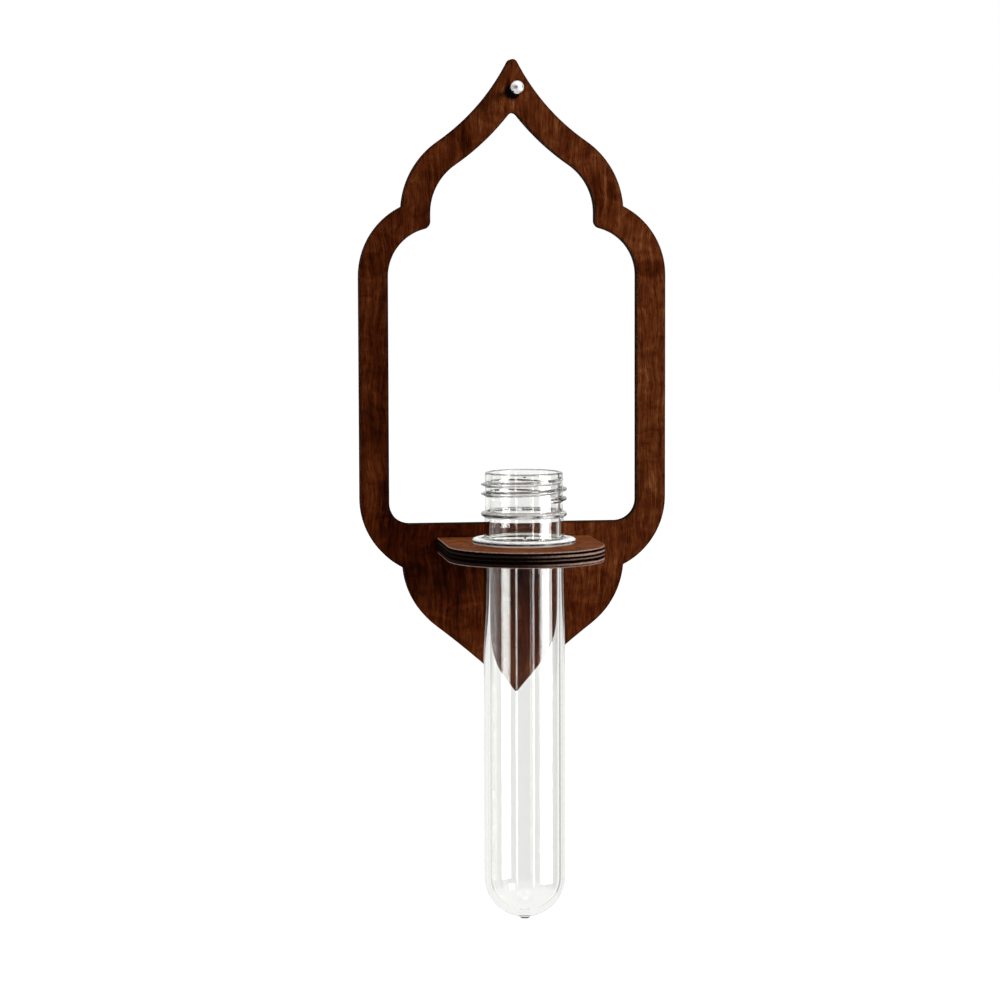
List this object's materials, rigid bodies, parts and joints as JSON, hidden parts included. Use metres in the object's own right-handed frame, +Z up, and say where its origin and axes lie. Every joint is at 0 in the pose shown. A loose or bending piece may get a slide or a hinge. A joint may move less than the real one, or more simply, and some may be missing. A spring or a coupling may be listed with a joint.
{
  "type": "wall mounted flower tube",
  "caption": "Pointed-arch plywood wall panel with an open window and a small round-fronted shelf, in whose hole a clear round-bottomed tube hangs by its neck ring. It hangs on a nail.",
  "frame": {"origin": "on the nail's axis, at the wall's face", "axes": "+Z up, +Y into the wall along the nail, +X to the right of someone who faces the wall; the wall's face is the plane y = 0"},
  "size_m": [0.1, 0.0772, 0.2755],
  "materials": {
    "stained_wood": "dark walnut stain, satin",
    "shelf_wood": "dark walnut stain, satin",
    "clear_plastic": "clear, polished",
    "bright_steel": "polished"
  },
  "bodies": {
    "nail": {"wall_nail": "bright_steel"},
    "hanger": {"back_panel": "stained_wood", "tube_shelf": "shelf_wood"},
    "tube": {"flower_tube": "clear_plastic"}
  },
  "joints": [
    {"name": "panel_swing", "type": "hinge", "parent": "nail", "child": "hanger", "pos_m": [0, 0, 0], "axis": [0, 1, 0], "range_deg": [-30, 30]},
    {"name": "tube_lift", "type": "slide", "parent": "hanger", "child": "tube", "axis": [0, 0, 1], "range_m": [0, 0.118]}
  ]
}
